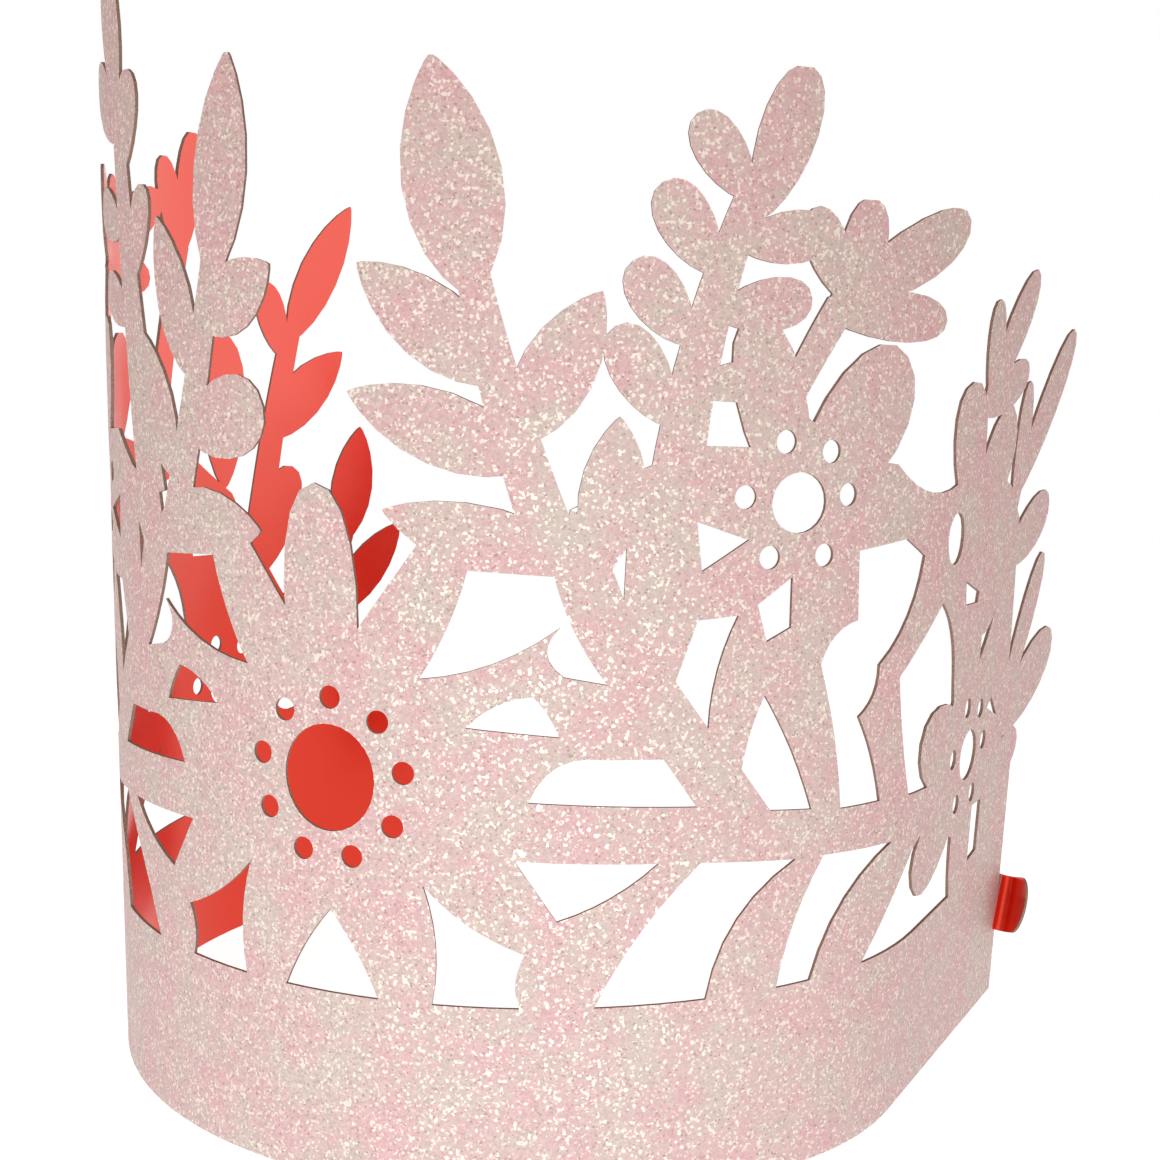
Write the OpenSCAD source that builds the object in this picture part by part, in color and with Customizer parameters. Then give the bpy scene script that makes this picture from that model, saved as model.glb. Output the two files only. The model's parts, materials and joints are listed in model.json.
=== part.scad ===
// Birthday crown: one die-cut sheet of card, glittered outside and foiled inside, curled by hand and stood
// on its straight lower edge. The cutting pattern is drawn flat, x along the strip from the daisy and y up.
// It is then wrapped on the curl, the soft bend and the flat wing, which meet smoothly.

/* [Sheet] */
// Thickness of the laminated card
card_t = 0.5; // [0.4:0.05:0.8]
// Height of the plain band under the cut-outs
band_h = 27; // [25:0.5:28]
// Length of the strip from the daisy to the straight end with the tongue
half_l = 149; // [147:1:152]
// How much further the end with the slot reaches, to lap under the other
lap = 23; // [20:1:26]

/* [Curl] */
// Radius of the main curl
curl_r = 72; // [66:1:84]
// How far round the curl the daisy sits from the front
daisy_turn = 23; // [18:1:28]
// How far round the curl from the front the soft bend starts
curl_turn = 29; // [26:1:32]

/* [Soft bend] */
// Radius of the soft bend at the lower edge
bend_r = 46; // [42:1:54]
// How far the soft bend turns
bend_turn = 34.5; // [30:0.5:38]
// Depth below the floor of the point that the bend fans out from
bend_drop = 130; // [120:2:150]

/* [Flowers] */
// Height of the daisy's centre
daisy_z = 57.5; // [57:0.5:58]
// Width of the daisy's centre hole
daisy_hole = 14; // [12:0.5:16]
// Diameter of the round piercings
dot_d = 3.2; // [2.6:0.1:3.6]
// Width of the six-dot flower's centre hole
flower_hole = 9; // [8:0.5:10]

/* [Closure] */
// Height of the folded tongue
tongue_h = 10; // [8:0.5:12]
// Length of the tongue past its fold
tongue_l = 8; // [6:0.5:10]
// Inside radius of the tongue's fold
fold_r = 1.2; // [0.8:0.1:1.6]
// How far the tongue is folded back
fold_turn = 150; // [120:5:160]
// Width of the slot that takes the tongue
slot_w = 1.2; // [1:0.1:2]

/* [Hidden] */

// Values worked out from the ones above
daisy_s = -curl_r * daisy_turn * PI / 180;
bend_s = curl_r * curl_turn * PI / 180;
half_angle = atan2(bend_r, bend_drop);
fan_turn = bend_turn * sin(half_angle);

// The sheet before it is cut: its height at the tall sprigs and beside them, and how far leaves pass its
// straight ends
sheet_tops = [[-130, 145], [-90, 154.1], [-33, 170], [-2, 154.1], [73, 152], [400, 135.6]];
side_top = 135.6;
overhang = 25;
margin = 6;
below = 20;

// The cutting pattern is drawn for this half length, and stretched along the strip to the real one
drawn_l = 149;
stretch = half_l / drawn_l;
reach = half_l + overhang * stretch;
back_turn = (daisy_s - half_l - lap - 1.5) / curl_r * 180 / PI;
wing_l = (reach + daisy_s - bend_s) * cos(fan_turn) - bend_drop * sin(fan_turn) + margin;
curl_facets = 62;
bend_facets = 10;

// Half the narrowest slit that the die can cut, how far the tongue is pressed in at each face, and how finely
// curves are drawn
slit = 0.1;
crease = 0.05;
max_step = 6;
curve_steps = 6;
blade_steps = 10;

// Outline helpers
// One side from p to q, bowed to the left by a share of its length
function side(p, q, bow) =
    let (d = q - p, n = bow == 0 ? max(1, ceil(norm(d) / max_step)) : curve_steps)
    [for (i = [0:n - 1]) let (t = i / n) p + t * d + 4 * bow * t * (1 - t) * [-d.y, d.x]];

// A closed outline from corners, each given as x, y and the bow of the side that leaves it
function outline(c) =
    [for (i = [0:len(c) - 1])
        let (p = c[i], q = c[(i + 1) % len(c)])
        each side([p.x, p.y], [q.x, q.y], p[2])];

// Half the width of a blade at u along it: small root and end values make blunt shoulders and ends
function swell(u, root, end) =
    let (peak = root / (root + end))
    pow(u, root) * pow(1 - u, end) / (pow(peak, root) * pow(1 - peak, end)) / 2;

// A blade from base to tip
function blade(base, tip, w, root, end) =
    let (d = tip - base, n = [-d.y, d.x] / norm(d), m = blade_steps,
         us = [for (i = [0:m]) (1 - cos(180 * i / m)) / 2])
    concat(
        [for (i = [0:m]) base + us[i] * d - n * w * swell(us[i], root, end)],
        [for (i = [m - 1:-1:1]) base + us[i] * d + n * w * swell(us[i], root, end)]);

function leaf(base, tip, w) = blade(base, tip, w, 0.75, 0.85);
function petal(base, tip, w) = blade(base, tip, w, 0.7, 0.45);

// A stem along a quadratic curve through a control point, its width changing from w0 to w1
function stem(p0, p1, p2, w0, w1) =
    let (m = blade_steps,
         at = [for (i = [0:m]) let (t = i / m) (1 - t) * (1 - t) * p0 + 2 * t * (1 - t) * p1 + t * t * p2],
         along = [for (i = [0:m]) let (t = i / m) (1 - t) * (p1 - p0) + t * (p2 - p1)],
         off = [for (i = [0:m]) [-along[i].y, along[i].x] / norm(along[i]) * (w0 + (w1 - w0) * i / m) / 2])
    concat([for (i = [0:m]) at[i] - off[i]], [for (i = [m:-1:0]) at[i] + off[i]]);

function oval(c, w, h, n) = [for (i = [0:n - 1]) c + [w / 2 * cos(360 * i / n), h / 2 * sin(360 * i / n)]];
function moved(shapes, at, turn) =
    [for (o = shapes) [for (p = o)
        at + [p.x * cos(turn) - p.y * sin(turn), p.x * sin(turn) + p.y * cos(turn)]]];
function mirrored(shapes) = [for (o = shapes) [for (p = o) [-p.x, p.y]]];
function both(shapes) = concat(shapes, mirrored(shapes));

// Tall sprig of pointed leaves, its foot at the origin
tall_sprig = [
    stem([-11, 36], [-8, 20], [1, -4], 4.2, 7),
    leaf([-11, 32], [-16.2, 62.2], 13.2),
    leaf([-6.5, 21], [-26.4, 36.4], 10),
    leaf([-2.5, 10.5], [-28, 19.8], 9.8),
    leaf([6, -4], [-23.2, 4.4], 9.6),
    leaf([-5.5, 13], [5.8, 32.8], 9.8),
    leaf([6.5, -4], [8.2, 16.8], 9.2)];

// Sprig of round buds, its foot at the origin
bud_sprig = [
    stem([12, 52], [1.5, 29], [0, 0], 4.2, 8),
    petal([12, 47], [20.2, 67.15], 8.8),
    petal([11.5, 49.5], [3.5, 60.3], 7),
    petal([6.5, 40], [-1, 51.6], 7.6),
    petal([3, 31], [-4.8, 41.7], 7.4),
    petal([0.5, 20.5], [-7, 33.4], 7.6),
    petal([9, 44], [24, 46], 7),
    petal([6, 35], [21, 37.3], 7),
    petal([2, 25.5], [17, 27], 5.5)];

// Sprig of three petals, its hub at the origin
three_petals = [
    petal([-0.5, -3], [4.7, 13.3], 8.2),
    petal([-4, -1], [27.4, 11.6], 8.6),
    petal([-5, -2], [21.8, -2.8], 7)];

// The left half has the same windows as far as this
left_windows = 118;

// The solid field that the windows are cut from, right half
field = outline([
    [0, -below, 0], [drawn_l, -below, 0], [drawn_l, 43, 0], [141, 48, 0], [141, 66, 0], [140, 76, 0],
    [139, 87, 0], [132, 93, 0], [114, 99, 0], [100.2, 95, 0.12], [84.7, 99.5, 0], [76.5, 100.6, 0],
    [66, 107, 0], [62, 102.5, 0], [50, 103, 0], [43, 100, 0], [33.4, 94.7, 0], [32, 88, 0],
    [13.4, 90, 0], [3.8, 77, 0], [0, 77.5, 0]]);

// Right half of what stands on the field
upper_half = concat(
    moved(tall_sprig, [31.7, 90], 0),
    moved(bud_sprig, [46.2, 85], 0),
    moved(three_petals, [73.7, 122.5], 0),
    moved(three_petals, [114.7, 109], 15),
    [
        petal([74, 121.5], [67, 134], 7),
        stem([72, 121], [68, 116], [62, 106], 5, 4),
        petal([65, 93], [86, 114.5], 15.5),
        petal([66, 92], [58, 120], 10.5),
        petal([109, 88], [106.2, 110.7], 13.5),
        petal([108, 86], [131, 104.5], 14),
        petal([134.5, 86], [138.6, 110], 8.2),
        petal([131, 89], [168, 117.8], 9),
        petal([132, 80], [159.4, 88], 9.4),
        petal([137, 52], [159.6, 78.6], 8.6),
        petal([134, 50], [172.2, 61], 12),
        petal([132, 43], [152, 46], 8)]);

// Windows of the right half, each from the open spaces between leaves and stems
windows_half = [
    outline([[13.7, 43.7, -0.06], [27.7, 34.6, -0.12], [26.9, band_h, 0], [14.9, band_h, -0.07]]),
    outline([[26.2, 47.6, 0], [45.7, 46.8, 0.05], [31.9, 39.2, 0]]),
    outline([[28, 55.6, 0.2], [38.2, 61.4, 0], [46.2, 61.2, 0], [51, 54.3, 0]]),
    outline([[19.7, 65.6, 0.1], [28.7, 70, 0.05], [32.2, 64.5, 0]]),
    outline([[13.4, 72, -0.07], [32.2, 79.2, -0.3], [32.7, 72.6, 0], [38.5, 71.5, 0.05], [31.4, 86, 0],
        [20, 86.7, 0.04]]),
    outline([[51.7, 46.5, 0], [66.7, 45.2, -0.13], [52.7, band_h, 0], [36.9, band_h, 0.05]]),
    outline([[71.7, 45, 0], [87.2, 43.9, -0.13], [69.7, band_h, 0], [63.7, band_h, 0.06]]),
    outline([[80.2, band_h, 0], [115.6, band_h, 0.04], [114, 37.5, 0], [99, 43.5, 0], [94, 41, 0]]),
    outline([[125.2, 40, 0], [130.4, 40, 0], [130.2, 31, 0], [125.2, 30.3, 0]]),
    outline([[57.5, 59, 0.04], [60.9, 69, 0.03], [69.2, 52, 0], [62.2, 52.7, 0]]),
    outline([[82.2, 71, -0.1], [92.7, 85.8, 0], [87.7, 88.7, 0], [77, 87.8, 0], [77.1, 78, -0.15],
        [70.2, 72.4, 0.03], [74.7, 51.2, 0], [83.4, 50.8, -0.04], [78, 64, -0.15]]),
    outline([[87.2, 68.5, -0.03], [91.5, 50, 0], [102, 49.5, 0], [108.7, 61, 0], [107.7, 65, -0.1],
        [99.7, 78, 0]]),
    outline([[65, 85, 0], [64.9, 78, 0], [61, 76.3, 0], [59.5, 81.5, 0]]),
    outline([[50.7, 79.8, 0], [56.7, 80.2, -0.06], [52.5, 65, 0], [47.7, 71.7, 0]]),
    outline([[50.4, 93, 0], [58, 90.3, 0], [51.2, 86.3, 0]]),
    outline([[39, 87, 0], [40.9, 89.7, 0], [40.6, 82.8, 0]]),
    outline([[109.7, 80, 0], [117.7, 77.3, 0], [117.2, 75.6, 0], [110.7, 76, 0]]),
    outline([[121.7, 65.5, -0.06], [129.7, 74.7, 0.15], [121.7, 69.5, 0]]),
    outline([[129, 56, 0], [131.5, 57.5, 0], [135.7, 53.5, 0]]),
    oval([103.2, 87.3], 6.4, 8, 16)];

// The field's left half runs on to the end with the slot
slot_end = -drawn_l - lap / stretch;
left_field = outline([
    [0, -below, 0], [0, 77.5, 0], [-3.8, 77, 0], [-13.4, 90, 0], [-32, 88, 0], [-33.4, 94.7, 0], [-43, 98, 0],
    [-50, 103, 0], [-62, 102.5, 0], [-66, 107, 0], [-76.5, 100.6, 0], [-84.7, 99.5, 0], [-98, 97, 0],
    [-111, 95, 0], [-123, 87, 0], [-127, 80, 0], [-136, 66, 0], [-148, 66, 0], [-152, 60, 0], [-158, 52, 0],
    [slot_end, 40, 0], [slot_end, -below, 0]]);

// What stands on the left half: the narrow tall sprig, the high bud sprig, the forked sprig, the end's leaves
left_upper = concat(
    [
        stem([-19.1, 127], [-23, 108], [-30, 88], 4, 6.5),
        leaf([-19.1, 124], [-15, 154.4], 10.2),
        leaf([-21.6, 118], [-8.3, 126.4], 9.6),
        petal([-25.6, 103.5], [-9.8, 107.6], 11.4),
        leaf([-33, 91], [-10.6, 90.6], 10.4),
        leaf([-24, 111], [-32.1, 133.6], 8.4),
        leaf([-29, 97], [-37.6, 117.6], 8.6)],
    [
        stem([-46, 154], [-43, 126], [-36, 94], 4.4, 9),
        petal([-45.6, 150], [-50.4, 170.4], 9.4),
        petal([-44, 140], [-40.2, 154.6], 8),
        petal([-41.4, 124], [-35.9, 138.2], 6.6),
        petal([-44.5, 132], [-58, 137], 7.4),
        petal([-45.5, 145], [-58.5, 156.5], 8.4),
        petal([-42, 119], [-55, 125], 7)],
    moved(mirrored(three_petals), [-76, 130], 0),
    [
        petal([-75, 128], [-69, 144], 7.4),
        stem([-75, 129], [-70, 118], [-63, 104], 5, 5),
        petal([-65, 93], [-86, 116], 15.5),
        petal([-66, 92], [-58, 120], 10.5),
        stem([-109.5, 134], [-103, 116], [-98, 94], 5, 7),
        petal([-109, 131], [-103.8, 149], 7.6),
        petal([-109.5, 131], [-114.6, 154.4], 7.8),
        petal([-121, 88], [-121, 117.6], 12.5)],
    [
        stem([-139.4, 119], [-133, 96], [-128, 68], 4.4, 7),
        leaf([-138.6, 116], [-153.6, 143.2], 8.8),
        petal([-137, 113], [-132.6, 127.6], 7),
        leaf([-132.5, 97], [-151.2, 114.2], 9.8),
        petal([-130, 70], [-139, 91.4], 9.4),
        stem([-151.6, 79], [-148, 66], [-139, 56], 4.4, 6),
        leaf([-151, 75], [-155.2, 98.8], 9.2),
        leaf([-148.5, 60], [-163.8, 78.6], 8.4)]);

// Petals of the end flower that hang into its windows
end_petals = [
    petal([119.7, 50], [95.2, 57], 14),
    petal([119.7, 50], [95.2, 34.5], 13)];

// Centres of the six-dot flowers, and the angles and reach of the dots round them
flowers = [[65.9, 95], [119.7, 50]];
flower_turns = [5, 52, 106, 173, 237, 301];
flower_reach = 8.6;
flower_holes = [for (c = flowers) oval(c, flower_hole, flower_hole * 0.92, 24)];
flower_dots = [for (c = flowers) each [for (a = flower_turns) c + flower_reach * [cos(a), sin(a)]]];

// The daisy: its upright petal, centre hole and ring of dots
daisy_dots = 9;
daisy_reach = 11.2;
upright_petal = petal([0, daisy_z], [-1.6, 97.6], 11.4);
daisy_eye = oval([0, daisy_z], daisy_hole, daisy_hole * 1.07, 30);
daisy_ring = [for (i = [0:daisy_dots - 1])
    let (a = 88 - 360 * i / daisy_dots)
    [0, daisy_z] + daisy_reach * [cos(a), sin(a)]];
foot_window = outline([[0, 39, 0.04], [7.2, band_h, 0], [-7.6, band_h, 0.04]]);
slot = outline([[0, 0, 0], [slot_w, 0, 0], [slot_w, tongue_h + 1, 0], [0, tongue_h + 1, 0]]);
tongue_z = 16;
slot_inset = 3.5;
slot_x = slot_end + slot_inset;
holes = concat(
    [daisy_eye, oval([-137, 46], 8, 8, 20)],
    both(flower_holes),
    moved([slot], [slot_x, tongue_z - tongue_h / 2 - 0.5], 0));
dots = concat(daisy_ring, both([flower_dots])[0], both([flower_dots])[1]);

solids = concat([upright_petal, field, left_field], upper_half, left_upper);

// Lines that run up inside the tall sprigs, the bud sprigs and the next sprig's first petal, to part the sky
tall_line = [[31.5, 91.5], [27.5, 102], [23.5, 113], [20.7, 125], [18.5, 138], [15.5, 152.2]];
bud_line = [[46.3, 96], [47.5, 108], [50.5, 117], [54.5, 127], [58.2, 137], [62, 143], [66.4, 152.2]];
petal_line = [[63, 98], [63, 106], [68, 116], [73.7, 122.5], [76, 129], [78.4, 135.8]];
left_tall_line = [[-30.1, 87], [-28, 97], [-25, 107], [-21.6, 118], [-19, 127], [-17.4, 140], [-15, 154.3]];
left_bud_line = [[-36, 96], [-39.5, 108], [-42.4, 124], [-44.2, 140], [-46, 152], [-48, 160], [-50.4, 170.3]];
fork_line = [[-98, 94], [-101.2, 106], [-105, 120], [-109.4, 132], [-111.6, 142], [-114.6, 154.3]];
sky = 190;
function up(line) = concat(line, [[line[len(line) - 1].x, sky]]);
function reversed(list) = [for (i = [len(list) - 1:-1:0]) list[i]];

// The sky over the daisy, between the two tall sprigs
daisy_sky = concat(
    [[0, 73], [9, 78], [14, 86], [20, 90]],
    up(tall_line),
    reversed(up(left_tall_line)),
    [[-22, 88], [-14, 86], [-9, 78]]);
// The sky between the tall sprig and the bud sprig
bud_sky = concat([[38, 93]], up(bud_line), reversed(up(tall_line)));
// The sky from the bud sprig to the next sprig's first petal
petal_sky = concat(up(petal_line), reversed(up(bud_line)));
// The sky from there past the end of the strip, under a line inside the field
end_floor = [[62, 97], [70, 96], [84, 92], [100, 88], [114, 90], [130, 86], [136, 80], [136, 60], [138, 30],
    [drawn_l - 2, 10], [drawn_l - 2, -below / 2], [drawn_l + 38, -below / 2], [drawn_l + 80, sky]];
end_sky = concat(end_floor, reversed(up(petal_line)));
// The skies of the left half, from the tall sprig to the end with the slot
left_bud_sky = concat(up(left_bud_line), reversed(up(left_tall_line)), [[-33, 92]]);
fork_sky = concat(up(fork_line), reversed(up(left_bud_line)), [[-50, 98], [-66, 100], [-80, 96]]);
slot_sky = concat(
    [[-110, 90], [-122, 84], [-128, 73], [-134, 62], [-147, 62], [-151, 57], [-157, 49], [slot_end + 2, 36],
        [slot_end + 2, -below / 2], [slot_end - 24, -below / 2], [slot_end - 60, sky]],
    reversed(up(fork_line)));
// Each sky with the place along the strip that its cutter faces
skies = [
    [daisy_sky, 0],
    [bud_sky, 40],
    [petal_sky, 64],
    [end_sky, 90],
    [left_bud_sky, -34],
    [fork_sky, -76],
    [slot_sky, -132]];
eye_z = 90;

// The curled surface: a place on the strip in, a point in space or the way the sheet faces there out
function along(p) = p.x * stretch + daisy_s;
function fan(p) = atan2(along(p) - bend_s, p.y + bend_drop);
function turned(q) =
    let (sb = sin(half_angle), cb = cos(half_angle), sa = sin(curl_turn), ca = cos(curl_turn),
         y = q.y * cb + q.z * sb)
    [q.x * ca - y * sa, q.x * sa + y * ca, q.z * cb - q.y * sb];
apex = [curl_r * sin(curl_turn), -curl_r * cos(curl_turn), -bend_drop];
function bend_line(w) = turned([sin(half_angle) * sin(w), -sin(half_angle) * cos(w), cos(half_angle)]);
function bend_normal(w) = turned([cos(half_angle) * sin(w), -cos(half_angle) * cos(w), -sin(half_angle)]);
function bend_along(w) = turned([cos(w), sin(w), 0]);
function on_sheet(p) =
    let (s = along(p), a = s / curl_r * 180 / PI, f = fan(p), w = min(f, fan_turn) / sin(half_angle),
         r = norm([s - bend_s, p.y + bend_drop]), past = max(0, f - fan_turn))
    s <= bend_s
        ? [curl_r * sin(a), -curl_r * cos(a), p.y]
        : apex + r * (cos(past) * bend_line(w) + sin(past) * bend_along(w));
function facing(p) =
    let (s = along(p), w = min(fan(p), fan_turn) / sin(half_angle))
    s <= bend_s ? s / curl_r * 180 / PI : curl_turn + atan(tan(w) * cos(half_angle));

// A place as it is seen from outside at a heading, and how far out it lies that way
function seen(p, a) = let (q = on_sheet(p)) [q.x * cos(a) + q.y * sin(a), q.z];
function depth(p, a) = let (q = on_sheet(p)) q.x * sin(a) - q.y * cos(a);
function mean(o) = [for (i = [0:1]) (min([for (p = o) p[i]]) + max([for (p = o) p[i]])) / 2];

// Stretches a flat shape into a cutter that passes through the sheet along a heading
module through(o, a) {
    ds = [for (p = o) depth(p, a)];
    near = min(ds) - 3;
    far = max(ds) + 3;
    rotate([0, 0, a]) {
        translate([0, -near, 0]) {
            rotate([90, 0, 0]) {
                linear_extrude(far - near) {
                    children();
                }
            }
        }
    }
}

module drawn(o, a) {
    polygon([for (p = o) seen(p, a)]);
}

module cut_sky(o, eye_x) {
    a = facing([eye_x, eye_z]);
    low = min([for (p = o) p.x]);
    high = max([for (p = o) p.x]);
    through(o, a) {
        offset(delta = slit) {
            offset(delta = -slit) {
                difference() {
                    drawn(o, a);
                    for (leaf = solids) {
                        xs = [for (p = leaf) p.x];
                        if (min(xs) < high && max(xs) > low) {
                            drawn(leaf, a);
                        }
                    }
                }
            }
        }
    }
}

module cut_window(o, petals) {
    a = facing(mean(o));
    through(o, a) {
        difference() {
            drawn(o, a);
            for (p = petals) {
                drawn(p, a);
            }
        }
    }
}

module cut_dot(c) {
    a = facing(c);
    through([c], a) {
        translate(seen(c, a)) {
            circle(d = dot_d, $fn = 24);
        }
    }
}

// The straight lines that the sheet is made of, from the back end to the wing's end: a point, the way up and
// the way out, and the height that the line is left at
function top_at(s) = [for (t = sheet_tops) if ((s - daisy_s) / stretch <= t[0]) t[1]][0];
curl_lines = [for (i = [0:curl_facets])
    let (a = back_turn + (curl_turn - back_turn) * i / curl_facets)
    [[curl_r * sin(a), -curl_r * cos(a), 0], [0, 0, 1], [sin(a), -cos(a), 0], top_at(curl_r * a * PI / 180)]];
bend_lines = [for (i = [1:bend_facets])
    let (w = bend_turn * i / bend_facets, s = bend_s + (bend_drop + side_top) * tan(w * sin(half_angle)))
    [apex, bend_line(w), bend_normal(w), top_at(s)]];
wing_line = [apex + wing_l * bend_along(bend_turn), bend_line(bend_turn), bend_normal(bend_turn), side_top];
lines = concat(curl_lines, bend_lines, [wing_line]);

// The point of a line's inner or outer face at a height
function at_height(l, out, z) =
    let (p = l[0] + out * card_t / 2 * l[2])
    p + (z - p.z) / l[1].z * l[1];

// The curled sheet before it is cut, level with the floor
module blank() {
    corners = 4;
    last = len(lines) - 1;
    polyhedron(
        points = [for (l = lines)
            each [at_height(l, -1, 0), at_height(l, 1, 0), at_height(l, 1, l[3]), at_height(l, -1, l[3])]],
        faces = concat(
            [[3, 2, 1, 0]],
            [for (i = [0:last - 1]) for (j = [0:corners - 1])
                let (k = (j + 1) % corners)
                [corners * i + j, corners * i + k, corners * (i + 1) + k, corners * (i + 1) + j]],
            [[for (j = [0:corners - 1]) corners * last + j]]));
}

// Stands on the plane of the wing, with its edge at the end of the bend
module at_wing() {
    translate(apex) {
        rotate([0, 0, curl_turn]) {
            rotate([-half_angle, 0, 0]) {
                rotate([0, 0, bend_turn]) {
                    rotate([half_angle, 0, 0]) {
                        children();
                    }
                }
            }
        }
    }
}

// The tongue: a tab of the end edge, folded back over the outside
module tongue() {
    foot = [half_l + daisy_s - bend_s, tongue_z + bend_drop];
    out = [foot.x * cos(fan_turn) - foot.y * sin(fan_turn), foot.x * sin(fan_turn) + foot.y * cos(fan_turn)];
    neck = 0.25;
    at_wing() {
        translate([out.x - neck, -fold_r - card_t / 2, out.y]) {
            rotate([0, fan_turn, 0]) {
                translate([0, 0, -tongue_h / 2]) {
                    rotate([0, 0, 90 - fold_turn]) {
                        rotate_extrude(angle = fold_turn) {
                            translate([fold_r + crease, 0]) {
                                square([card_t - 2 * crease, tongue_h]);
                            }
                        }
                        translate([fold_r + crease, 0, tongue_h / 2]) {
                            rotate([90, 0, 90]) {
                                linear_extrude(card_t - 2 * crease) {
                                    translate([-tongue_l + tongue_h / 2, 0]) {
                                        circle(d = tongue_h, $fn = 48);
                                    }
                                    translate([-tongue_l + tongue_h / 2, -tongue_h / 2]) {
                                        square([tongue_l - tongue_h / 2, tongue_h]);
                                    }
                                }
                            }
                        }
                    }
                }
            }
        }
    }
}

// Sub-part
module crown_sheet() {
    color([0.88, 0.74, 0.73]) {
        difference() {
            blank();
            for (s = skies) {
                cut_sky(s[0], s[1]);
            }
            cut_window(foot_window, []);
            for (o = windows_half) {
                cut_window(o, end_petals);
                if (max([for (p = o) p.x]) < left_windows) {
                    cut_window(mirrored([o])[0], mirrored(end_petals));
                }
            }
            for (o = holes) {
                cut_window(o, []);
            }
            for (c = dots) {
                cut_dot(c);
            }
        }
        tongue();
    }
}

crown_sheet();
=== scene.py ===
"""Birthday crown: one curled sheet of card, glittered outside, foiled inside and bare at its cut edges."""

from __future__ import annotations

import json
import logging
import math
from abc import ABC, abstractmethod
from dataclasses import dataclass
from enum import IntEnum
from typing import Any, Mapping, Optional, Sequence, Union

import bmesh
import bpy
import numpy as np
from mathutils import Matrix, Vector

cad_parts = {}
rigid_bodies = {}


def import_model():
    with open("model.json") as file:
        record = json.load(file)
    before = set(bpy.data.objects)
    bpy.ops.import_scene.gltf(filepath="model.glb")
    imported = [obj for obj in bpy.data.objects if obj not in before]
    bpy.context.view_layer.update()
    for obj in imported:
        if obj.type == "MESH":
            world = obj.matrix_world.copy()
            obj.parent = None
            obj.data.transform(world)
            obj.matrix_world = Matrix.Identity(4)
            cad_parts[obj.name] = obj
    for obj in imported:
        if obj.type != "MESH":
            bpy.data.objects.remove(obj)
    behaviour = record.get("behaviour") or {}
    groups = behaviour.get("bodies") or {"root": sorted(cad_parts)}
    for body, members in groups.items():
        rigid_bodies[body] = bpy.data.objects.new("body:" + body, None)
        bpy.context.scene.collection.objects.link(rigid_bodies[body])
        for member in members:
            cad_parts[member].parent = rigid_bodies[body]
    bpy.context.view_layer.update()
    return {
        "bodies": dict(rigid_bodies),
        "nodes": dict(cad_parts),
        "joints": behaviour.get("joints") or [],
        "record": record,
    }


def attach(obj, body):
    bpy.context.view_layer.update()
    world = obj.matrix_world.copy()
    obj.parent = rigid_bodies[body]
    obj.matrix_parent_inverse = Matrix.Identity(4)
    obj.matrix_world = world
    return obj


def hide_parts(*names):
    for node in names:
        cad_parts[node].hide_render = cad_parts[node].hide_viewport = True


LOG = logging.getLogger("birthday_crown")
MM = 0.001
QUARTER_TURN = math.pi / 2
# The middle of a noise, or of a random value from 0 to 1.
MIDDLE = 0.5
Colour = tuple[float, float, float]
Place = tuple[float, float, float]
Stops = Sequence[tuple[float, Colour]]
WHITE: Colour = (1.0, 1.0, 1.0)


def linear(red: int, green: int, blue: int) -> Colour:
    """Turns a screen colour into the linear one that shaders use, by the usual curve of screens.

    Args:
        red: Red, 0 to 255.
        green: Green, 0 to 255.
        blue: Blue, 0 to 255.

    Returns:
        The three linear values, 0 to 1.
    """
    shares = (red / 255, green / 255, blue / 255)
    return tuple(c / 12.92 if c <= 0.04045 else ((c + 0.055) / 1.055) ** 2.4 for c in shares)


def opaque(colour: Colour) -> tuple[float, float, float, float]:
    """A colour with the full opacity that colour sockets ask for."""
    return (*colour, 1.0)


def turned(angle: float, axis: str) -> Matrix:
    """A rotation about one of the main axes, as a matrix of four rows."""
    return Matrix.Rotation(angle, 4, axis)


def read(items: bpy.types.bpy_prop_collection, field: str, width: int, kind: type = float) -> np.ndarray:
    """Reads one field of every item in a part of a mesh.

    Args:
        items: The items, such as a mesh's vertices.
        field: The field's name.
        width: How many numbers the field holds.
        kind: The type of these numbers.

    Returns:
        One row an item, or a flat array where the field is one number.
    """
    values = np.empty(len(items) * width, dtype=kind)
    items.foreach_get(field, values)
    return values if width == 1 else values.reshape(-1, width)


class Wire:
    """A shader socket that takes part in sums, products and comparisons."""

    def __init__(self, graph: "Graph", socket: bpy.types.NodeSocket) -> None:
        """Holds one output socket of a graph."""
        self.graph = graph
        self.socket = socket

    def _math(self, operation: str, first: "Value", second: "Value") -> "Wire":
        """Adds a Math node for one operation on two values."""
        node = self.graph.node("ShaderNodeMath", {"operation": operation}, {0: first, 1: second})
        return self.graph.out(node, 0)

    def __add__(self, other: "Value") -> "Wire":
        """This value plus another."""
        return self._math("ADD", self, other)

    def __radd__(self, other: "Value") -> "Wire":
        """Another value plus this one."""
        return self._math("ADD", other, self)

    def __sub__(self, other: "Value") -> "Wire":
        """This value less another."""
        return self._math("SUBTRACT", self, other)

    def __rsub__(self, other: "Value") -> "Wire":
        """Another value less this one."""
        return self._math("SUBTRACT", other, self)

    def __mul__(self, other: "Value") -> "Wire":
        """This value times another."""
        return self._math("MULTIPLY", self, other)

    def __rmul__(self, other: "Value") -> "Wire":
        """Another value times this one."""
        return self._math("MULTIPLY", other, self)

    def __gt__(self, limit: "Value") -> "Wire":
        """One where this value is above a limit, and nothing elsewhere."""
        return self._math("GREATER_THAN", self, limit)

    def __lt__(self, limit: "Value") -> "Wire":
        """One where this value is below a limit, and nothing elsewhere."""
        return self._math("LESS_THAN", self, limit)


Value = Union[Wire, float, Sequence[float]]


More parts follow.
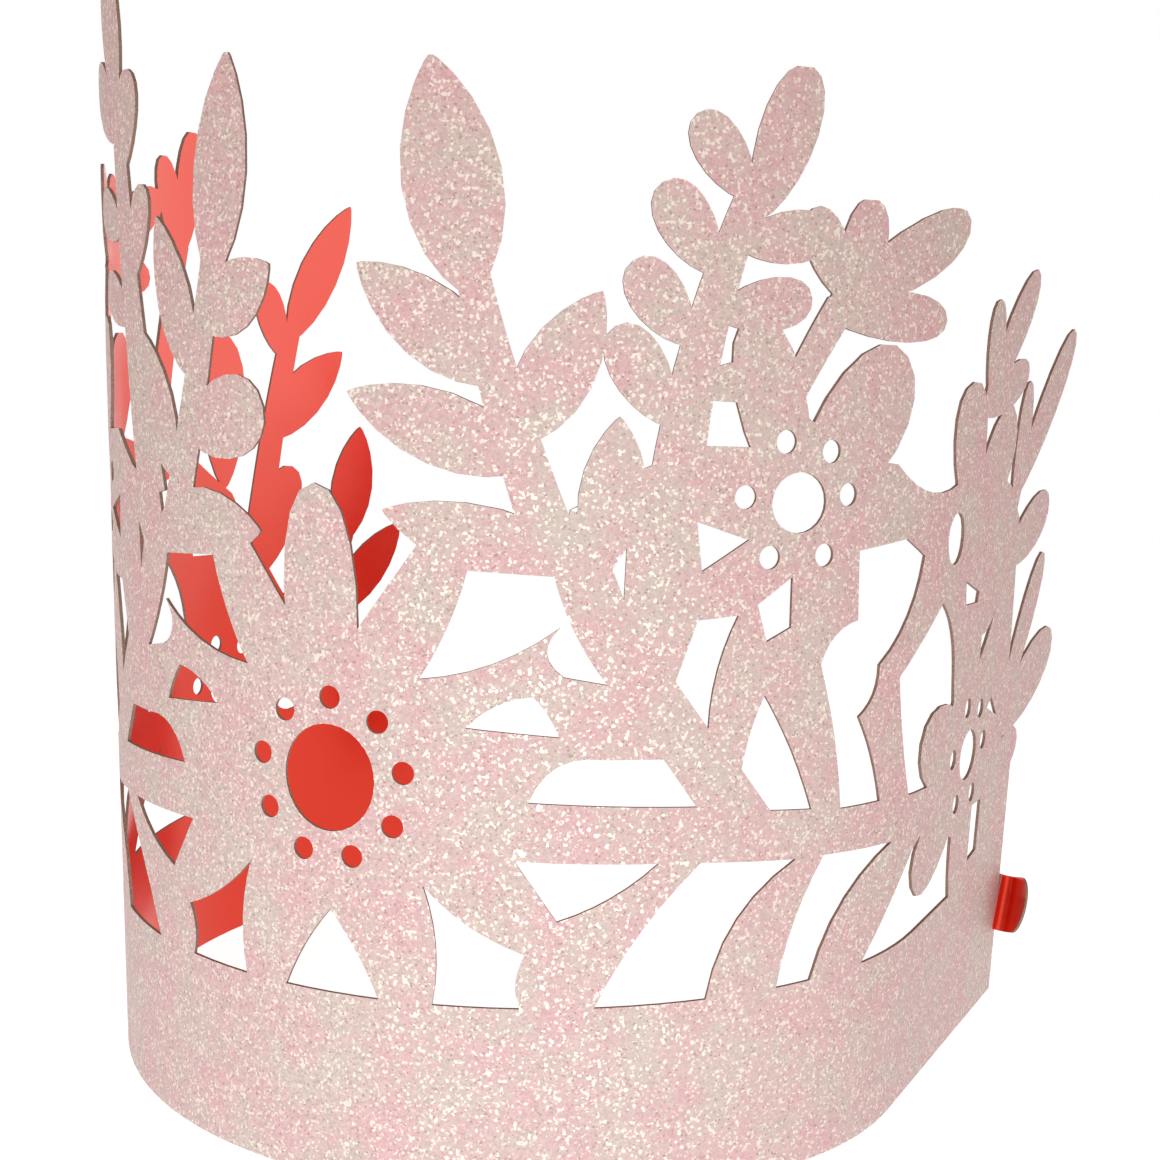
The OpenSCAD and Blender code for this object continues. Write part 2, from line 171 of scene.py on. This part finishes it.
class Graph:
    """The node tree of one material or of the world."""

    def __init__(self, tree: bpy.types.NodeTree) -> None:
        """Empties the tree so that it can be filled again."""
        tree.nodes.clear()
        self.tree = tree

    def node(
        self,
        kind: str,
        settings: Optional[Mapping[str, Any]] = None,
        inputs: Optional[Mapping[Union[str, int], Value]] = None,
    ) -> bpy.types.Node:
        """Adds one node.

        Args:
            kind: Blender's name of the node's type.
            settings: Properties that are set first; "stops" fills a colour ramp.
            inputs: Values or wires of its sockets, by name or place.

        Returns:
            The new node.
        """
        made = self.tree.nodes.new(kind)
        for name, value in (settings or {}).items():
            if name == "stops":
                self._fill_ramp(made.color_ramp, value)
            else:
                setattr(made, name, value)
        for place, value in (inputs or {}).items():
            if isinstance(value, Wire):
                self.tree.links.new(value.socket, made.inputs[place])
            else:
                made.inputs[place].default_value = value
        return made

    def out(self, node: bpy.types.Node, place: Union[str, int]) -> Wire:
        """Wraps one output of a node."""
        return Wire(self, node.outputs[place])

    def place(self) -> Wire:
        """Where on the object a point is, in the object's own lengths."""
        return self.out(self.node("ShaderNodeTexCoord"), "Object")

    def noise(self, place: Wire, scale: float, detail: float, roughness: float = 0.5) -> Wire:
        """Soft clouds.

        Args:
            place: Where on the object a point is.
            scale: How many clouds there are in a metre.
            detail: How many finer layers are laid over the first.
            roughness: How strong each layer is beside the one before it.

        Returns:
            A value that strays about the middle.
        """
        inputs = {"Vector": place, "Scale": scale, "Detail": detail, "Roughness": roughness}
        return self.out(self.node("ShaderNodeTexNoise", None, inputs), 0)

    def cells(self, place: Wire, width: float) -> Wire:
        """Cells about as wide as is asked, each of one random colour."""
        inputs = {"Vector": place, "Scale": 1 / width}
        return self.out(self.node("ShaderNodeTexVoronoi", {"feature": "F1"}, inputs), "Color")

    def split(self, colour: Wire) -> list[Wire]:
        """The red, green and blue of a colour."""
        node = self.node("ShaderNodeSeparateColor", None, {0: colour})
        return [self.out(node, i) for i in range(3)]

    def ramp(self, value: Wire, stops: Stops) -> Wire:
        """The colour that a ramp of stops gives a value."""
        return self.out(self.node("ShaderNodeValToRGB", {"stops": stops}, {0: value}), "Color")

    def vector(self, operation: str, inputs: Mapping[Union[str, int], Value]) -> Wire:
        """The outcome of one operation on vectors."""
        return self.out(self.node("ShaderNodeVectorMath", {"operation": operation}, inputs), 0)

    def bumped(self, height: Wire, strength: float, distance: float) -> Wire:
        """The surface's normal where a height ruffles it."""
        inputs = {"Strength": strength, "Distance": distance, "Height": height}
        return self.out(self.node("ShaderNodeBump", None, inputs), 0)

    def mixed(self, share: Value, first: Value, second: Value, blend: str = "MIX") -> Wire:
        """Mixes two colours.

        Args:
            share: How much of the second colour shows.
            first: The colour below.
            second: The colour above.
            blend: The way that the second is laid on the first.

        Returns:
            The mixed colour.
        """
        settings = {"data_type": "RGBA", "blend_type": blend, "clamp_factor": True}
        node = self.node("ShaderNodeMix", settings, {0: share, 6: first, 7: second})
        return self.out(node, 2)

    @staticmethod
    def _fill_ramp(ramp: bpy.types.ColorRamp, stops: Stops) -> None:
        """Gives a colour ramp its stops.

        Args:
            ramp: The ramp of a new node.
            stops: Places along it, each with its colour.
        """
        while len(ramp.elements) > 1:
            ramp.elements.remove(ramp.elements[-1])
        for i, (place, colour) in enumerate(stops):
            element = ramp.elements[0] if i == 0 else ramp.elements.new(place)
            element.position = place
            element.color = opaque(colour)


class Face(IntEnum):
    """The sides of the card, in the order of its material slots."""

    GLITTER = 0
    FOIL = 1
    EDGE = 2


@dataclass(frozen=True)
class Finish(ABC):
    """A procedural material with one shader."""

    name: str

    @abstractmethod
    def surface(self, g: Graph) -> dict[str, Value]:
        """Works out what goes into the shader.

        Args:
            g: The material's graph.

        Returns:
            Values or wires of the shader's sockets, by name.
        """

    def build(self) -> bpy.types.Material:
        """Makes the material.

        Returns:
            The new material.
        """
        material = bpy.data.materials.new(self.name)
        material.use_nodes = True
        g = Graph(material.node_tree)
        shader = g.node("ShaderNodeBsdfPrincipled", None, self.surface(g))
        g.node("ShaderNodeOutputMaterial", None, {"Surface": g.out(shader, 0)})
        return material


@dataclass(frozen=True)
class Fleck:
    """A kind of odd flake: its colour, its share of all flakes and how well it covers the ground."""

    colour: Colour
    share: float
    cover: float


@dataclass(frozen=True)
class GlitterFinish(Finish):
    """Pale glitter: flakes of pink and beige in soft clouds, with pale specks of painted sparkle and a few
    dark ones.
    """

    name: str = "rose_glitter"
    flake: float = 0.4 * MM
    dust: float = 0.27 * MM
    cloud: float = 9 * MM
    cloud_detail: float = 3.0
    cloud_roughness: float = 0.6
    tints: Stops = (
        (0.34, linear(207, 167, 172)),
        (0.5, linear(203, 175, 175)),
        (0.66, linear(198, 182, 177)),
    )
    tint_stray: float = 0.25
    least_shade: float = 0.82
    flake_shade: float = 0.16
    dust_shade: float = 0.16
    # Painted sparkle: the pale specks and the bright dust specks below are painted into the base colour to
    # stand for flakes catching the light; the pale flakes also get some real metallic gloss.
    painted_sparkle: Fleck = Fleck(linear(242, 234, 224), 0.11, 0.63)
    painted_glint: Fleck = Fleck(linear(246, 236, 222), 0.055, 0.5)
    dark: Fleck = Fleck(linear(150, 116, 112), 0.04, 0.55)
    sparkle_flake_metal: float = 0.35
    tilt: float = 0.24
    least_roughness: float = 0.4
    flake_roughness: float = 0.35
    specular: float = 0.2

    def surface(self, g: Graph) -> dict[str, Value]:
        """Works out what goes into the shader.

        Each Voronoi cell is one flake. Its random colour picks a tone, a pick for painted sparkle and a lean
        away from the sheet. Smaller cells of dust over the flakes add grain, painted glints and dark specks.

        Args:
            g: The material's graph.

        Returns:
            Values or wires of the shader's sockets, by name.
        """
        place = g.place()
        flakes = g.cells(place, self.flake)
        clouds = g.noise(place, 1 / self.cloud, self.cloud_detail, self.cloud_roughness)
        tone, pick, painted_sparkle_pick = g.split(flakes)
        grain, grain_pick, _ = g.split(g.cells(place, self.dust))
        tint = g.ramp(clouds + (pick - MIDDLE) * self.tint_stray, self.tints)
        shade = self.least_shade + tone * self.flake_shade + grain * self.dust_shade
        grey = g.out(g.node("ShaderNodeCombineColor", None, dict.fromkeys(range(3), shade)), 0)
        colour = g.mixed(1.0, tint, grey, "MULTIPLY")
        # Pale flakes picked at random get painted sparkle in the base colour, and some metallic gloss as
        # well.
        painted_sparkle = painted_sparkle_pick > 1 - self.painted_sparkle.share
        # Painted glints: dust specks painted bright in the base colour.
        painted_glint = grain_pick > 1 - self.painted_glint.share
        dark = grain_pick < self.dark.share
        for where, fleck in ((painted_sparkle, self.painted_sparkle), (painted_glint, self.painted_glint), (dark, self.dark)):
            colour = g.mixed(where * fleck.cover, colour, opaque(fleck.colour))
        lean = g.vector("SUBTRACT", {0: flakes, 1: (MIDDLE, MIDDLE, MIDDLE)})
        leant = g.vector("SCALE", {0: lean, "Scale": self.tilt})
        upright = g.out(g.node("ShaderNodeNewGeometry"), "Normal")
        return {
            "Base Color": colour,
            "Metallic": painted_sparkle * self.sparkle_flake_metal,
            "Roughness": self.least_roughness + tone * self.flake_roughness,
            "Specular IOR Level": self.specular,
            "Normal": g.vector("NORMALIZE", {0: g.vector("ADD", {0: upright, 1: leant})}),
        }


@dataclass(frozen=True)
class FoilFinish(Finish):
    """Red mirror foil: a metal film on card, with hot foil's faint ripple. Its red is a painted reflection,
    darker low down and paler towards the top.
    """

    name: str = "red_foil"
    # Painted reflection: over this height the red runs from dark low down to pale higher up.
    top: float = 200 * MM
    tints: Stops = ((0.3, linear(222, 60, 38)), (0.55, linear(254, 110, 97)))
    tint_stray: float = 0.1
    cloud_scale: float = 55.0
    cloud_detail: float = 2.0
    haze_scale: float = 420.0
    haze_detail: float = 4.0
    haze_height: float = 0.08
    ripple: float = 0.12
    ripple_depth: float = 0.4 * MM
    metal: float = 0.65
    least_roughness: float = 0.17
    haze_roughness: float = 0.1

    def surface(self, g: Graph) -> dict[str, Value]:
        """Works out what goes into the shader: the height picks the red, a painted reflection, and clouds
        and haze ruffle it.

        Args:
            g: The material's graph.

        Returns:
            Values or wires of the shader's sockets, by name.
        """
        place = g.place()
        cloud = g.noise(place, self.cloud_scale, self.cloud_detail)
        haze = g.noise(place, self.haze_scale, self.haze_detail)
        height = g.out(g.node("ShaderNodeSeparateXYZ", None, {0: place}), "Z")
        # Painted reflection: the height picks a darker red low down and a paler red higher up.
        painted_reflection_level = height * (1 / self.top) + (cloud - MIDDLE) * self.tint_stray
        return {
            "Base Color": g.ramp(painted_reflection_level, self.tints),
            "Metallic": self.metal,
            "Roughness": self.least_roughness + haze * self.haze_roughness,
            "Normal": g.bumped(cloud + haze * self.haze_height, self.ripple, self.ripple_depth),
        }


@dataclass(frozen=True)
class CutEdgeFinish(Finish):
    """The die-cut edge: grey-brown board with fine fibres."""

    name: str = "cut_card_edge"
    fibre: float = 0.25 * MM
    fibre_detail: float = 3.0
    tints: Stops = ((0.3, linear(112, 92, 84)), (0.7, linear(158, 134, 122)))
    ripple: float = 0.3
    ripple_depth: float = 0.1 * MM
    least_roughness: float = 0.75
    fibre_roughness: float = 0.2
    specular: float = 0.2

    def surface(self, g: Graph) -> dict[str, Value]:
        """Works out what goes into the shader: one noise of fibres gives colour, roughness and ruffle.

        Args:
            g: The material's graph.

        Returns:
            Values or wires of the shader's sockets, by name.
        """
        fibres = g.noise(g.place(), 1 / self.fibre, self.fibre_detail)
        return {
            "Base Color": g.ramp(fibres, self.tints),
            "Roughness": self.least_roughness + fibres * self.fibre_roughness,
            "Specular IOR Level": self.specular,
            "Normal": g.bumped(fibres, self.ripple, self.ripple_depth),
        }


@dataclass(frozen=True)
class FloorFinish(Finish):
    """The pale floor: it glows nearly white and is dim beneath, so the crown hardly tints it."""

    name: str = "pale_floor"
    dim: float = 0.25
    roughness: float = 0.9
    glow: float = 0.94

    def surface(self, g: Graph) -> dict[str, Value]:
        """Works out what goes into the shader, which is the same all over.

        Args:
            g: The material's graph, which nothing is added to here.

        Returns:
            Values of the shader's sockets, by name.
        """
        return {
            "Base Color": opaque((self.dim, self.dim, self.dim)),
            "Roughness": self.roughness,
            "Emission Color": opaque(WHITE),
            "Emission Strength": self.glow,
        }


@dataclass(frozen=True)
class Curl:
    """How the flat sheet is curled: a round curl, a soft bend that fans out from a point, and a flat wing.

    The sizes are the part's own. The last five only tell the tongue from the sheet beside it.
    """

    card_t: float = 0.5 * MM
    half_l: float = 149 * MM
    curl_r: float = 72 * MM
    daisy_turn: float = math.radians(23)
    curl_turn: float = math.radians(29)
    bend_r: float = 46 * MM
    bend_turn: float = math.radians(34.5)
    bend_drop: float = 130 * MM
    tongue_z: float = 16 * MM
    tongue_h: float = 10 * MM
    fold_r: float = 1.2 * MM
    fold_turn: float = math.radians(150)
    neck: float = 0.25 * MM
    start_slack: float = 0.2
    lift_share: float = 0.6
    neck_share: float = 1.5
    height_share: float = 0.51
    tongue_reach: float = 12 * MM

    @property
    def half_angle(self) -> float:
        """Half the angle of the cone that the soft bend lies on."""
        return math.atan2(self.bend_r, self.bend_drop)

    @property
    def fan_turn(self) -> float:
        """How far the bend fans out in the flat sheet."""
        return self.bend_turn * math.sin(self.half_angle)

    def bend_frame(self) -> Matrix:
        """The place of the bend's cone, its axis up and its first line to the front.

        Returns:
            The matrix from the cone's own frame to the part's.
        """
        east = self.curl_r * math.sin(self.curl_turn)
        north = -self.curl_r * math.cos(self.curl_turn)
        apex = Matrix.Translation(Vector((east, north, -self.bend_drop)))
        return apex @ (turned(self.curl_turn, "Z") @ turned(-self.half_angle, "X"))

    def fold_frame(self) -> Matrix:
        """The place of the tongue's crease, as the part has it, with the sheet behind it.

        Returns:
            The matrix from the crease's own frame, which has the crease along Z, to the part's.
        """
        across = self.half_l - self.curl_r * (self.daisy_turn + self.curl_turn)
        up = self.tongue_z + self.bend_drop
        fan = self.fan_turn
        foot = Vector(
            (
                across * math.cos(fan) - up * math.sin(fan) - self.neck,
                -self.fold_r - self.card_t / 2,
                across * math.sin(fan) + up * math.cos(fan),
            )
        )
        wing = turned(self.bend_turn, "Z") @ turned(self.half_angle, "X")
        return self.bend_frame() @ wing @ Matrix.Translation(foot) @ turned(fan, "Y")

    def outward(self, points: np.ndarray) -> np.ndarray:
        """The way that the glittered side of the curled sheet faces.

        On the curl it is straight out from the upright axis. On the bend it is straight out from the leaning
        cone, and past the cone's last line it stays as it is there.

        Args:
            points: Places on the sheet, one a row.

        Returns:
            Unit vectors, one a row.
        """
        heading = np.arctan2(points[:, 0], -points[:, 1])
        zero = np.zeros_like(heading)
        curl = np.stack([np.sin(heading), -np.cos(heading), zero], 1)
        frame = np.array(self.bend_frame())
        local = (points - frame[:3, 3]) @ frame[:3, :3]
        turn = np.clip(np.arctan2(local[:, 0], -local[:, 1]), 0, self.bend_turn)
        sine, cosine = math.sin(self.half_angle), math.cos(self.half_angle)
        cone = np.stack([cosine * np.sin(turn), -cosine * np.cos(turn), zero - sine], 1)
        bend = cone @ frame[:3, :3].T
        return np.where((heading > self.curl_turn)[:, None], bend, curl)

    def tongue_side(self, points: np.ndarray) -> tuple[np.ndarray, np.ndarray]:
        """Where the folded tongue is, and the way that its glittered side faces.

        The tongue is rolled round its crease, glitter inwards, and then runs straight on. So on the roll the
        glitter faces the crease, and past the roll's last line it faces the way that it does there.

        Args:
            points: Places on the part, one a row.

        Returns:
            One True a row for places on the tongue, and unit vectors, one a row.
        """
        frame = np.array(self.fold_frame())
        local = (points - frame[:3, 3]) @ frame[:3, :3]
        last = QUARTER_TURN - self.fold_turn
        raw = np.arctan2(local[:, 1], local[:, 0])
        turn = np.where(raw > QUARTER_TURN + self.start_slack, last, np.maximum(raw, last))
        inwards = -np.stack([np.cos(turn), np.sin(turn), np.zeros_like(turn)], 1)
        lifted = self.fold_r + self.card_t / 2 - local[:, 1] > self.lift_share * self.card_t
        reach = np.hypot(local[:, 0], local[:, 1])
        rolled = (local[:, 0] > self.neck * self.neck_share) & (reach < self.fold_r + self.card_t)
        level = np.abs(local[:, 2]) < self.height_share * self.tongue_h
        near = level & (reach < self.tongue_reach)
        return near & (lifted | rolled), inwards @ frame[:3, :3].T


@dataclass
class CrownSheet:
    """The crown: the die-cut sheet, curled, with a finish on each of its three kinds of surface."""

    node: str = "crown_sheet"
    name: str = "crown_card"
    slot: str = "glitter_card"
    merge: float = 1e-6
    face_limit: float = 0.7
    curl: Curl = Curl()

    def build(self, source: bpy.types.Object) -> bpy.types.Object:
        """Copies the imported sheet, sorts its faces by side and smooths them along the true curl.

        Args:
            source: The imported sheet.

        Returns:
            The dressed crown.
        """
        mesh = source.data.copy()
        mesh.name = self.name
        self._merge(mesh)
        sides, normals = self._sides(mesh)
        mesh.polygons.foreach_set("use_smooth", np.ones(len(mesh.polygons), dtype=bool))
        mesh.materials.clear()
        for finish in (GlitterFinish(), FoilFinish(), CutEdgeFinish()):
            mesh.materials.append(finish.build())
        mesh.polygons.foreach_set("material_index", sides.astype(np.int32))
        mesh.update()
        mesh.normals_split_custom_set(normals)
        piece = bpy.data.objects.new(self.name, mesh)
        bpy.context.scene.collection.objects.link(piece)
        return piece

    def _merge(self, mesh: bpy.types.Mesh) -> None:
        """Joins the loose triangles at their corners.

        Args:
            mesh: The copied sheet, which is changed in place.
        """
        work = bmesh.new()
        work.from_mesh(mesh)
        bmesh.ops.remove_doubles(work, verts=work.verts, dist=self.merge)
        work.to_mesh(mesh)
        work.free()

    def _sides(self, mesh: bpy.types.Mesh) -> tuple[np.ndarray, np.ndarray]:
        """Sorts faces into glitter, foil and cut edge, and works out the normal of each corner.

        A face that looks the way of the glittered side is glitter, one that looks the other way is foil, and
        the rest are cut edges. The tongue is red on both faces. All but the edges take the curl's own normal
        at each corner.

        Args:
            mesh: The merged sheet.

        Returns:
            The side of each face, and a unit vector for each corner.
        """
        points = read(mesh.vertices, "co", 3)
        normals = read(mesh.polygons, "normal", 3)
        centres = read(mesh.polygons, "center", 3)
        corners = read(mesh.loops, "vertex_index", 1, np.int32)
        owner = np.repeat(np.arange(len(normals)), read(mesh.polygons, "loop_total", 1, np.int32))
        folded, inwards = self.curl.tongue_side(centres)
        looks = (normals * np.where(folded[:, None], inwards, self.curl.outward(centres))).sum(1)
        facing = [looks > self.face_limit, looks < -self.face_limit]
        sides = np.select(facing, [int(Face.GLITTER), int(Face.FOIL)], int(Face.EDGE))
        sign = np.select(facing, [1.0, -1.0], 0.0)[owner][:, None]
        out = self.curl.outward(points)[corners]
        rolled = self.curl.tongue_side(points)[1][corners]
        smooth = np.where(folded[owner][:, None], rolled, out)
        sides[folded & (sides == Face.GLITTER)] = int(Face.FOIL)
        return sides, np.where(sign == 0, normals[owner], sign * smooth)


@dataclass
class Studio:
    """A small pale floor, one low, wide lamp behind the camera, and a plain surround.

    The camera and the foil see the surround as white. The light that it throws is dimmer and warmer.
    """

    floor_size: float = 0.62
    sky_fill: Colour = (0.55, 0.42, 0.355)
    lamp_at: Place = (-0.03, -0.42, 0.045)
    lamp_aim: Place = (0.0, 0.0, 0.045)
    lamp_size: tuple[float, float] = (0.5, 0.06)
    lamp_power: float = 0.46
    lamp_tint: Colour = (0.86, 1.0, 0.96)
    lamp_spread: float = math.radians(110)
    camera_at: Place = (5.87 * MM, -291.62 * MM, 116.18 * MM)
    pitch: float = math.radians(7.93)
    roll: float = 0.0056
    focal_pixels: float = 1700
    photo_pixels: float = 1160
    sensor: float = 36.0
    clip_start: float = 0.01

    def build(self) -> None:
        """Makes the floor, the light and the camera."""
        self._floor()
        self._surround()
        self._lamp()
        self._camera()

    def _floor(self) -> None:
        """Lays a square floor, its points a grid of two by two."""
        half = self.floor_size / 2
        grid = np.stack(np.meshgrid([-half, half], [-half, half]), -1).reshape(-1, 2)
        points = np.column_stack([grid, np.zeros(len(grid))])
        mesh = bpy.data.meshes.new("floor")
        mesh.from_pydata(points.tolist(), [], [(0, 1, 3, 2)])
        mesh.materials.append(FloorFinish().build())
        floor = bpy.data.objects.new("floor", mesh)
        bpy.context.scene.collection.objects.link(floor)

    def _surround(self) -> None:
        """Makes the surround: white to the camera and in reflections, a dim warm fill as light."""
        scene = bpy.context.scene
        scene.view_settings.view_transform = "Standard"
        world = bpy.data.worlds.new("white_surround")
        world.use_nodes = True
        scene.world = world
        g = Graph(world.node_tree)
        path = g.node("ShaderNodeLightPath")
        seen = g.out(path, "Is Camera Ray") + g.out(path, "Is Glossy Ray")
        colour = g.mixed(seen, opaque(self.sky_fill), opaque(WHITE))
        back = g.node("ShaderNodeBackground", None, {"Color": colour})
        g.node("ShaderNodeOutputWorld", None, {"Surface": g.out(back, 0)})

    def _lamp(self) -> None:
        """Hangs the lamp behind the camera, out of its sight, and aims it at the crown."""
        lamp = bpy.data.lights.new("front_lamp", "AREA")
        lamp.shape = "RECTANGLE"
        lamp.size, lamp.size_y = self.lamp_size
        lamp.energy = self.lamp_power
        lamp.color = self.lamp_tint
        lamp.spread = self.lamp_spread
        holder = bpy.data.objects.new("front_lamp", lamp)
        holder.location = self.lamp_at
        holder.visible_camera = False
        aim = Vector(self.lamp_aim) - Vector(self.lamp_at)
        holder.rotation_euler = aim.to_track_quat("-Z", "Y").to_euler()
        bpy.context.scene.collection.objects.link(holder)

    def _camera(self) -> None:
        """Stands the camera where the photograph was taken from."""
        lens = bpy.data.cameras.new("camera")
        lens.sensor_width = self.sensor
        lens.lens = self.sensor * (self.focal_pixels / self.photo_pixels)
        lens.clip_start = self.clip_start
        camera = bpy.data.objects.new("camera", lens)
        turn = turned(QUARTER_TURN - self.pitch, "X") @ turned(self.roll, "Z")
        camera.matrix_world = Matrix.Translation(Vector(self.camera_at)) @ turn
        bpy.context.scene.collection.objects.link(camera)
        bpy.context.scene.camera = camera


def main() -> None:
    """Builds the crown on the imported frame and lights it."""
    logging.basicConfig(level=logging.INFO, format="%(name)s: %(message)s")
    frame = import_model()
    sheet = CrownSheet()
    crown = sheet.build(frame["nodes"][sheet.node])
    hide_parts(sheet.node)
    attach(crown, "root")
    LOG.info("%s: %d faces", crown.name, len(crown.data.polygons))
    Studio().build()
    LOG.info("studio: floor, surround, lamp and camera")


if __name__ == "__main__":
    main()
